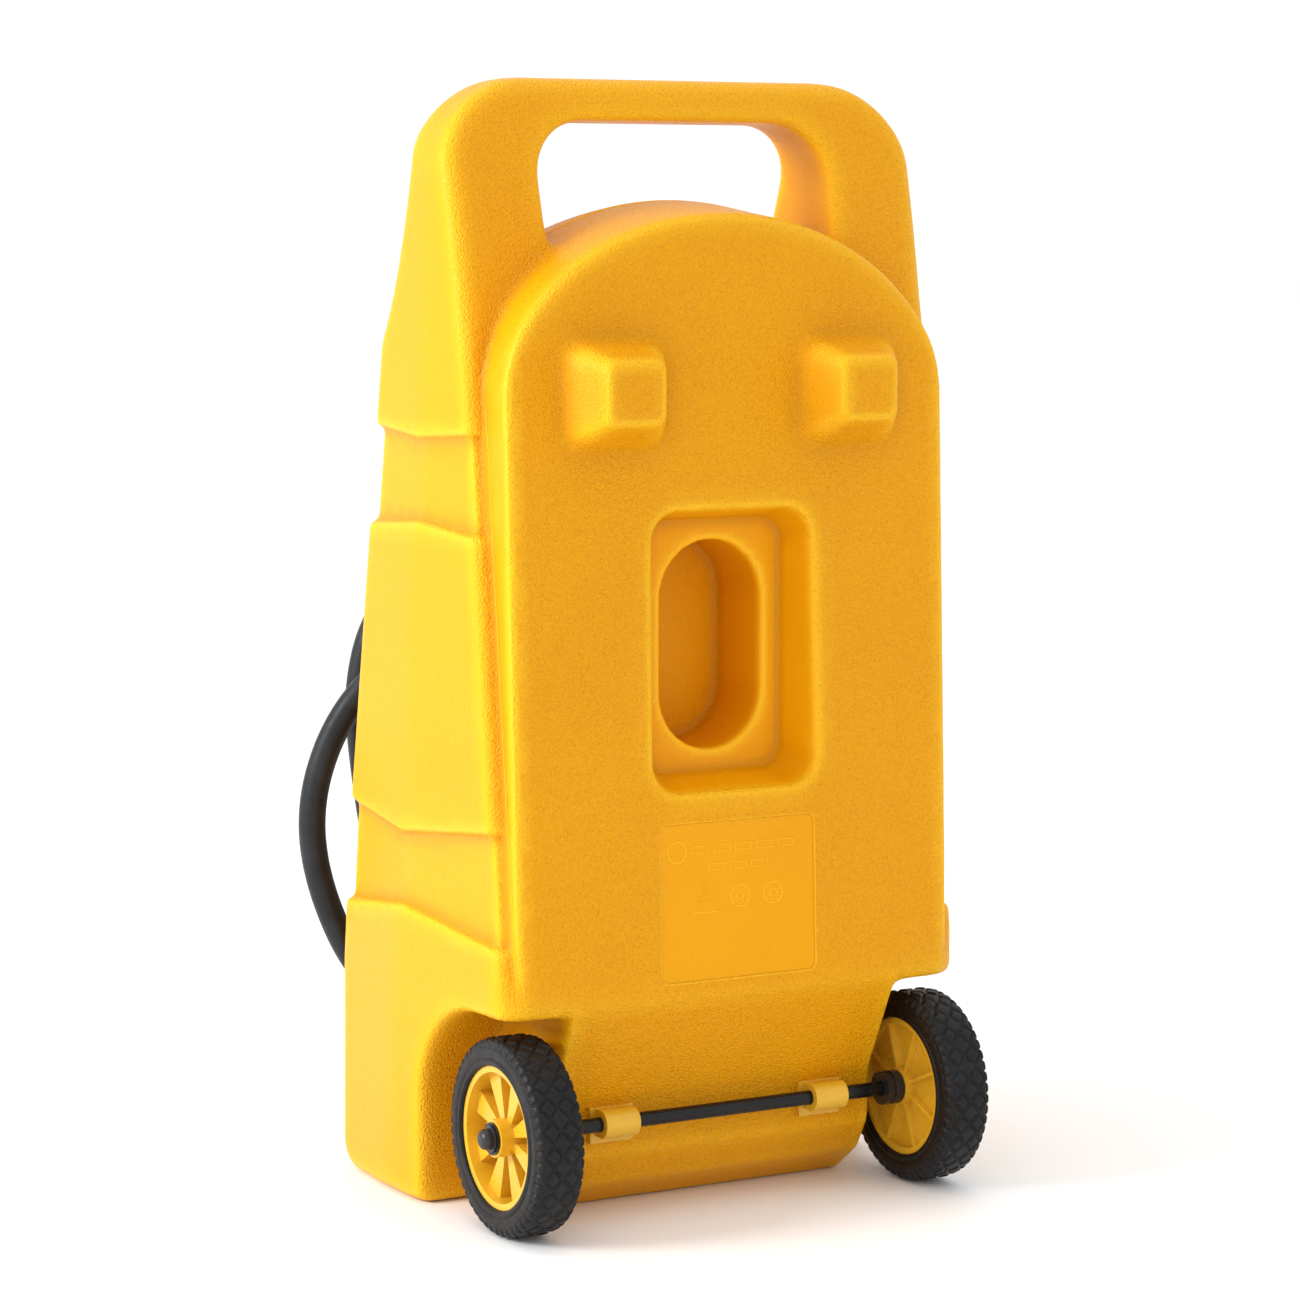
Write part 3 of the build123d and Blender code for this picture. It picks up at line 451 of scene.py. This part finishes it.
def outer_skin():
    """The tank's outside as one closed mesh, with its bores stopped: points and triangles."""
    skin = bmesh.new()
    skin.from_mesh(NODES["tank_shell"].data)
    bmesh.ops.remove_doubles(skin, verts=skin.verts, dist=0.01 * MM)
    bores = tank_bores()
    walls = [face for face in skin.faces if lies_on_bore(face, bores)]
    bmesh.ops.delete(skin, geom=walls, context="FACES")
    highest = max(skin.verts, key=lambda vertex: vertex.co.z)
    outside = connected_to(highest)
    inside = [vertex for vertex in skin.verts if vertex not in outside]
    bmesh.ops.delete(skin, geom=inside, context="VERTS")
    rims = [edge for edge in skin.edges if edge.is_boundary]
    bmesh.ops.holes_fill(skin, edges=rims, sides=0)
    bmesh.ops.triangulate(skin, faces=skin.faces)
    skin.verts.index_update()
    points = np.array([vertex.co for vertex in skin.verts], np.float32)
    corners = [[vertex.index for vertex in face.verts] for face in skin.faces]
    triangles = np.array(corners, np.uint32)
    print("tank skin:", len(points), "points,", len(rims), "rim edges,",
          sum(not edge.is_manifold for edge in skin.edges), "open edges")
    skin.free()
    return points, triangles


def blurred(field, sigma):
    """The distance field after a Gaussian blur of that width in metres."""
    reach = math.ceil(3 * sigma / VOXEL)
    steps = range(-reach, reach + 1)
    weights = [math.exp(-0.5 * (step * VOXEL / sigma) ** 2) for step in steps]
    for axis in range(3):
        total = np.zeros_like(field)
        for step, weight in zip(steps, weights):
            total += np.roll(field, step, axis) * np.float32(weight / sum(weights))
        field = total
    return field


def ramp(value, low, high):
    """Smooth step from 0 at low to 1 at high."""
    share = np.clip((value - low) / (high - low), 0, 1)
    return share * share * (3 - 2 * share)


def near(value, centre, half, fade):
    """1 within half of the centre, falling to 0 over fade."""
    return 1 - ramp(np.abs(value - centre), half, half + fade)


def rounded_rectangle(x, z, half_x, half_z, radius):
    """Signed distance to a rounded rectangle's outline, negative inside."""
    over_x = np.abs(x) - (half_x - radius)
    over_z = np.abs(z) - (half_z - radius)
    outside = np.hypot(np.maximum(over_x, 0), np.maximum(over_z, 0))
    return outside + np.minimum(np.maximum(over_x, over_z), 0) - radius


def off_plate(x, z):
    """Signed distance to the marking plate's outline, negative on the plate."""
    return rounded_rectangle(x, z - PLATE_Z, *PLATE_HALF, PLATE_R)


def soften_field(field, low):
    """Rounds the tank as blowing into a mould does: more on the handle, less in the window."""
    x, y, z = [
        (low[axis] + np.arange(field.shape[axis], dtype=np.float32)) * VOXEL for axis in range(3)
    ]
    x, y, z = x[:, None, None], y[None, :, None], z[None, None, :]
    behind = y - rear_y(z)
    plate = (np.abs(x) < 76 * MM) & (np.abs(z - PLATE_Z) < 68 * MM) & (behind > -8 * MM)
    field = np.where(plate, np.minimum(field, behind), field)
    fine, middle, wide = (blurred(field, sigma) for sigma in SOFTENING)
    shoulder = near(y, -70 * MM, 50 * MM, 6 * MM) * near(x, 0, 134 * MM, 6 * MM)
    handle = ramp(z, 690 * MM, 740 * MM) * (1 - shoulder)
    pad_base = near(np.abs(x), PAD_AT[0], 62 * MM, 10 * MM) * near(z, PAD_AT[1], 62 * MM, 10 * MM)
    pad_base = pad_base * near(behind, 0, 7 * MM, 12 * MM)
    below_arch = 1 - ramp(z, 190 * MM, 215 * MM)
    arches = ramp(np.abs(x), 148 * MM, 156 * MM) * below_arch * ramp(y, -60 * MM, -40 * MM)
    window = near(x, 0, 90 * MM, 6 * MM) * near(z, WINDOW_Z, 124 * MM, 6 * MM)
    window = window * (1 - ramp(behind, -24 * MM, -10 * MM)) * ramp(y, 0, 10 * MM)
    pad_top = near(np.abs(x), PAD_AT[0], 40 * MM, 5 * MM) * near(z, PAD_AT[1], 40 * MM, 5 * MM)
    crisp = np.maximum(window, pad_top * ramp(behind, 16 * MM, 24 * MM))
    soft = np.clip(np.maximum(np.maximum(handle, pad_base), arches), 0, 1)
    return fine * crisp + (1 - crisp) * (middle * (1 - soft) + wide * soft)


def carve_bore(field, low, point, axis, radius, depth):
    """Cuts a round well into the field, from its mouth down the axis."""
    x, y, z = [
        (low[i] + np.arange(field.shape[i], dtype=np.float32)) * VOXEL - point[i] for i in range(3)
    ]
    x, y, z = x[:, None, None], y[None, :, None], z[None, None, :]
    along = x * axis.x + y * axis.y + z * axis.z
    around = np.sqrt(np.maximum(x * x + y * y + z * z - along * along, 0))
    well = np.maximum(around - radius, -along - depth)
    return np.maximum(field, -well)


def mesh_object(name, points, faces, slot):
    """A smooth mesh object with its slot's material, in the scene."""
    data = bpy.data.meshes.new(name)
    data.from_pydata([tuple(point) for point in points], [], [tuple(face) for face in faces])
    data.materials.append(MATERIALS[slot])
    data.shade_smooth()
    piece = bpy.data.objects.new(name, data)
    SCENE.collection.objects.link(piece)
    return piece


def plate_outline(distance, per_corner=8):
    """The marking plate's outline moved out by a distance, as (x, z) points."""
    radius = PLATE_R + distance
    points = []
    for corner, (side_x, side_z) in enumerate(((1, 1), (-1, 1), (-1, -1), (1, -1))):
        for step in range(per_corner + 1):
            turn = math.radians(90 * (corner + step / per_corner))
            x = side_x * (PLATE_HALF[0] - PLATE_R) + radius * math.cos(turn)
            z = side_z * (PLATE_HALF[1] - PLATE_R) + radius * math.sin(turn)
            points.append((x, z + PLATE_Z))
    return points


def sink_plate(form):
    """Cuts the rear face out round the marking plate and fills it with the sunk plate."""

    def under_patch(face):
        flat = all(abs(v.co.y - rear_y(v.co.z)) < 0.4 * MM for v in face.verts)
        return flat and min(off_plate(v.co.x, v.co.z) for v in face.verts) < PATCH_MARGIN

    cut = [face for face in form.faces if under_patch(face)]
    bmesh.ops.delete(form, geom=cut, context="FACES")
    rim = [edge for edge in form.edges if edge.is_boundary]
    edge_points = list({vertex for edge in rim for vertex in edge.verts})
    number = {vertex: index for index, vertex in enumerate(edge_points)}
    flat_points = [Vector((vertex.co.x, vertex.co.z)) for vertex in edge_points]
    edges = [tuple(number[vertex] for vertex in edge.verts) for edge in rim]
    for distance in (1.0, 0.3, -0.15, -0.7, -1.25):
        loop = plate_outline(distance * MM)
        first = len(flat_points)
        flat_points += [Vector(point) for point in loop]
        edges += [(first + step, first + (step + 1) % len(loop)) for step in range(len(loop))]
    corners, _, faces, origins, _, _ = delaunay_2d_cdt(flat_points, edges, [], 1, 1e-9)
    made = []
    for corner, origin in zip(corners, origins):
        known = [index for index in origin if index < len(edge_points)]
        if known:
            made.append(edge_points[known[0]])
            continue
        distance = off_plate(corner.x, corner.y)
        sunk = 1 - ramp(distance, -1.1 * MM, 0.2 * MM)
        made.append(form.verts.new((corner.x, rear_y(corner.y) - PLATE_DEPTH * sunk, corner.y)))
    for face in faces:
        form.faces.new([made[index] for index in face])


def paint(shell, name, values):
    """A value at each point of the mesh, for the material."""
    attribute = shell.data.attributes.new(name, "FLOAT", "POINT")
    attribute.data.foreach_set("value", values.astype(np.float32))


def paint_tank(shell, bulge, low):
    """Grain: full on the back, faint on the flanks. Tone, for painted light: 0 on edges for a
    painted highlight, 1 on flats, 2 in creases for painted shade.
    """
    count = len(shell.data.vertices)
    points = np.zeros(count * 3, np.float32)
    normals = np.zeros(count * 3, np.float32)
    shell.data.vertices.foreach_get("co", points)
    shell.data.vertex_normals.foreach_get("vector", normals)
    x, y, z = points.reshape(-1, 3).T
    cells = [np.rint(value / VOXEL).astype(int) - low[axis] for axis, value in enumerate((x, y, z))]
    outline = off_plate(x, z)
    on_rear = np.abs(y - rear_y(z)) < 3 * MM
    # Painted highlight on convex edges and painted shade in creases, from how far the surface lies
    # off its blurred self
    tone = 1 - np.clip(bulge[tuple(cells)] / BULGE, -1, 1)
    # Painted highlight along the sunk plate's rim and painted shade at its foot
    rim = near(outline, 0.15 * MM, 0.35 * MM, 0.3 * MM) * 0.9
    foot = near(outline, -0.7 * MM, 0.1 * MM, 0.4 * MM)
    tone = np.where(on_rear & (np.abs(outline) < PATCH_MARGIN), 1 - rim + foot, tone)
    paint(shell, "tone", tone)
    to_side = np.abs(normals.reshape(-1, 3)[:, 0])
    grain = 1 - 0.62 * ramp(to_side, 0.5, 0.95)
    grain *= 1 - 0.85 * (1 - ramp(outline, -2 * MM, 0)) * on_rear
    inside_window = near(x, 0, 80 * MM, 3 * MM) * near(z, WINDOW_Z, 116 * MM, 3 * MM)
    inside_window = inside_window * (y < rear_y(z) - 5 * MM) * (y > -10 * MM)
    grain *= 1 - 0.75 * inside_window
    paint(shell, "grain", grain)


def make_tank():
    """The blow-moulded shell, softened from the CAD tank in a distance field."""
    points, triangles = outer_skin()
    transform = openvdb.createLinearTransform(voxelSize=VOXEL)
    solid = openvdb.FloatGrid.createLevelSetFromPolygons(
        points, triangles=triangles, transform=transform, halfWidth=BAND_VOXELS
    )
    low, high = solid.evalActiveVoxelBoundingBox()
    margin = 4
    low = tuple(value - margin for value in low)
    shape = tuple(top - bottom + margin + 1 for bottom, top in zip(low, high))
    field = np.zeros(shape, np.float32)
    solid.copyToArray(field, ijk=low)
    field = soften_field(field, low)
    neck, vent, _ = tank_bores()
    field = carve_bore(field, low, neck[0], neck[1], NECK_BORE_R, NECK_WELL)
    field = carve_bore(field, low, vent[0], vent[1], VENT_BORE_R, VENT_WELL)
    smooth = openvdb.FloatGrid(BAND_VOXELS * VOXEL)
    smooth.transform = transform
    smooth.gridClass = openvdb.GridClass.LEVEL_SET
    smooth.copyFromArray(field.astype(np.float32), ijk=low)
    corners, triangles, quads = smooth.convertToPolygons(isovalue=0, adaptivity=ADAPTIVITY)
    print("tank:", field.shape, "voxels,", len(triangles) + 2 * len(quads), "triangles")
    shell = mesh_object("tank_body", corners, [*triangles, *quads], "tank_plastic")
    form = bmesh.new()
    form.from_mesh(shell.data)
    sink_plate(form)
    bmesh.ops.recalc_face_normals(form, faces=form.faces)
    print("tank:", sum(not edge.is_manifold for edge in form.edges), "open edges")
    form.to_mesh(shell.data)
    form.free()
    shell.data.shade_smooth()
    paint_tank(shell, blurred(field, BULGE_BLUR) - field, low)
    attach(shell, "tank")
    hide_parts("tank_shell")
    return shell


# ---------------------------------------------------------------- marks and seams on the tank
def line_work(name, lines, radius, slot, closed=()):
    """Thin round beads along lists of points, as one curve piece on the tank."""
    data = bpy.data.curves.new(name, "CURVE")
    data.dimensions = "3D"
    data.bevel_depth = radius
    data.bevel_resolution = 3
    data.use_fill_caps = True
    for number, line in enumerate(lines):
        spline = data.splines.new("POLY")
        spline.points.add(len(line) - 1)
        for point, place in zip(spline.points, line):
            point.co = (*place, 1)
        spline.use_cyclic_u = number in closed
    data.materials.append(MATERIALS[slot])
    piece = bpy.data.objects.new(name, data)
    SCENE.collection.objects.link(piece)
    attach(piece, "tank")
    return piece


def on_plate(x, z):
    """A point on the sunk plate's face, a little under its skin."""
    return (x, rear_y(z) - PLATE_DEPTH - MARK_SUNK, z)


def ring_marks(x, z, radius, count=40):
    """A circle on the plate."""
    turns = [2 * math.pi * step / count for step in range(count)]
    return [on_plate(x + radius * math.cos(turn), z + radius * math.sin(turn)) for turn in turns]


def make_plate_marks():
    """Blank bars, a plain triangle, a ring and two dials, raised a little from the plate."""
    top = PLATE_Z + PLATE_HALF[1]
    lines, closed = [], set()

    def add_closed(line):
        closed.add(len(lines))
        lines.append(line)

    add_closed(ring_marks(56 * MM, top - 23 * MM, 8.3 * MM))
    for row, (start, count) in enumerate(((42 * MM, 5), (27 * MM, 3))):
        z = top - (22 + 15 * row) * MM
        for number in range(count):
            right = start - number * 20 * MM
            corners = [(right, z - 2.6 * MM), (right - 15 * MM, z - 2.6 * MM)]
            corners += [(right - 15 * MM, z + 2.6 * MM), (right, z + 2.6 * MM)]
            add_closed([on_plate(*corner) for corner in corners])
    turns = [math.radians(90 + 120 * step) for step in range(3)]
    centre = (31 * MM, top - 60 * MM)
    for size in (10 * MM, 5.5 * MM):
        add_closed(
            [on_plate(centre[0] + size * math.cos(t), centre[1] + size * math.sin(t)) for t in turns]
        )
    lines.append([on_plate(44 * MM, top - 73 * MM), on_plate(20 * MM, top - 73 * MM)])
    for x in (-2 * MM, -33 * MM):
        z = top - 62 * MM
        add_closed(ring_marks(x, z, 8.5 * MM))
        add_closed(ring_marks(x, z, 3.2 * MM, 20))
        for step in range(12):
            turn = 2 * math.pi * step / 12
            ends = (4.6 * MM, 6.8 * MM)
            lines.append([on_plate(x + r * math.cos(turn), z + r * math.sin(turn)) for r in ends])
    # The marks carry no tone, so the tank plastic gives them its painted highlight
    line_work("plate_marks", lines, MARK_R, "tank_plastic", closed)


def make_seams(shell):
    """The mould's parting line: over the dome, and down each side of the core behind the flank."""
    lines = []
    for offset in (0.0, 2.4 * MM):
        crest = []
        for step in range(61):
            x = (step / 60 - 0.5) * 2 * SEAM_DOME_HALF
            above = Vector((x, SEAM_DOME_Y - offset, 0.86))
            hit, place, _, _ = shell.ray_cast(above, Vector((0, 0, -1)))
            if hit and place.z > 0.70:
                crest.append(place)
        lines.append(crest)
    for side in (-1, 1):
        drop = []
        for step in range(81):
            z = SEAM_SIDE_Z[0] + (SEAM_SIDE_Z[1] - SEAM_SIDE_Z[0]) * step / 80
            y = FLANK_REAR[0] + (FLANK_REAR[1] - z) * FLANK_REAR_SLOPE + SEAM_BEHIND
            beside = Vector((side * 0.3, y, z))
            hit, place, _, _ = shell.ray_cast(beside, Vector((-side, 0, 0)))
            if hit:
                drop.append(place)
        lines.append(drop)
    # The seam carries no tone, so the tank plastic gives it its painted highlight
    line_work("parting_seam", lines, SEAM_R, "tank_plastic")


# ---------------------------------------------------------------- tyres
def tyre_section():
    """Half the tyre's section outwards from the bore's middle: (side, radius, share of tread)."""
    rows = [(0, 57, 0), (18.6, 57, 0), (20.4, 57.6, 0)]
    rows += [(21.2, 58.8, 0), (21.45, 60.2, 0), (21.2, 61.8, 0), (20.5, 62.7, 0), (20.1, 63.1, 0)]
    rows += [(20.5, 63.6, 0), (20.85, 64.6, 0), (21.0, 67, 0), (20.9, 69.5, 0), (20.7, 71.2, 0)]
    rows += [(20.2, 71.9, 0.1), (20.3, 72.6, 0.6)]
    for step in range(1, 13):
        turn = math.radians(90 * step / 12)
        rows.append((12.9 + 7.6 * math.cos(turn), 72.6 + 7.1 * math.sin(turn), 1))
    crown_steps = 17
    for step in range(1, crown_steps + 1):
        side = 12.9 * (1 - step / crown_steps)
        rows.append((side, 80 - 0.3 * (side / 12.9) ** 2, 1))
    return [(side * MM, radius * MM, share) for side, radius, share in rows]


def tread_depth(side, pitch):
    """How far the tread lies below its top, in metres: diamonds, grooves and shoulder notches."""
    across = np.abs(np.abs(side) - 7.9 * MM) / (7.2 * MM)
    around = np.abs((pitch + 0.5) % 1 - 0.5) / 0.43
    diamond = across + around - 1
    groove = np.exp(-((diamond * 3.6 * MM / (0.9 * MM)) ** 2)) * 2.3 * MM
    between = ramp(diamond, 0.0, 0.2) * 0.5 * MM
    crown = 1 - ramp(np.abs(side), 15.2 * MM, 16.6 * MM)
    edge_groove = np.exp(-(((np.abs(side) - 16.0 * MM) / (0.7 * MM)) ** 2)) * 1.2 * MM
    scallop = 1 - np.abs(np.sin(2 * math.pi * (pitch + 0.25)))
    notch = scallop**2.2 * 2.4 * MM * ramp(np.abs(side), 15.6 * MM, 17.5 * MM)
    return crown * (groove + between) + edge_groove + notch


def make_tyre(name, side):
    """Tyre with a tread of diamond blocks, scalloped shoulders and a bead at the rim."""
    half = tyre_section()
    section = [(-s, r, t) for s, r, t in half[:-1]] + [(s, r, t) for s, r, t in reversed(half[1:])]
    columns = TREAD_PITCHES * STEPS_PER_PITCH
    turn = np.arange(columns) * 2 * math.pi / columns
    rows = []
    for offset, radius, share in section:
        depth = share * tread_depth(np.full(columns, offset), turn * TREAD_PITCHES / (2 * math.pi))
        inward = ramp(abs(offset), 14 * MM, 21 * MM)
        reach = radius - depth * (1 - 0.35 * inward)
        aside = offset - math.copysign(1, offset) * depth * 0.5 * inward
        x = side * (TYRE_MIDDLE + aside)
        y, z = AXLE_YZ[0] + reach * np.cos(turn), AXLE_YZ[1] + reach * np.sin(turn)
        rows.append(np.stack([x, y, z], 1))
    count = len(rows)
    corner = np.arange(columns)
    following = (corner + 1) % columns
    faces = []
    for row in range(count):
        after = (row + 1) % count
        here, there = row * columns, after * columns
        loop = [here + corner, here + following, there + following, there + corner]
        faces.append(np.stack(loop, 1))
    faces = np.concatenate(faces)
    if side < 0:
        faces = faces[:, ::-1]
    tyre = mesh_object("tread_" + name, np.concatenate(rows), faces, "tyre_rubber")
    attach(tyre, "wheel_" + name)
    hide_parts("tyre_" + name)


# ---------------------------------------------------------------- hose
def make_hose():
    data = bpy.data.curves.new("fuel_hose", "CURVE")
    data.dimensions = "3D"
    data.bevel_depth = HOSE_R
    data.bevel_resolution = 8
    data.resolution_u = 10
    data.use_fill_caps = True
    line = data.splines.new("NURBS")
    line.points.add(len(HOSE_ROUTE) - 1)
    for point, place in zip(line.points, HOSE_ROUTE):
        point.co = (*place, 1)
    line.order_u = 3
    line.use_endpoint_u = True
    data.materials.append(MATERIALS["hose_rubber"])
    hose = bpy.data.objects.new("fuel_hose", data)
    SCENE.collection.objects.link(hose)
    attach(hose, "tank")
    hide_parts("hose")


# ---------------------------------------------------------------- CAD nodes that stay
def dress_cad_nodes():
    """Every CAD node that stays gets its slot's finish."""
    for name, slot in slot_of_nodes().items():
        node = NODES[name]
        node.data.materials.clear()
        node.data.materials.append(MATERIALS[slot])


make_camera()
make_lights()
make_floor()
MATERIALS = make_materials()
dress_cad_nodes()
make_hose()
tank = make_tank()
make_plate_marks()
make_seams(tank)
for wheel_name, wheel_side in (("left", 1), ("right", -1)):
    make_tyre(wheel_name, wheel_side)
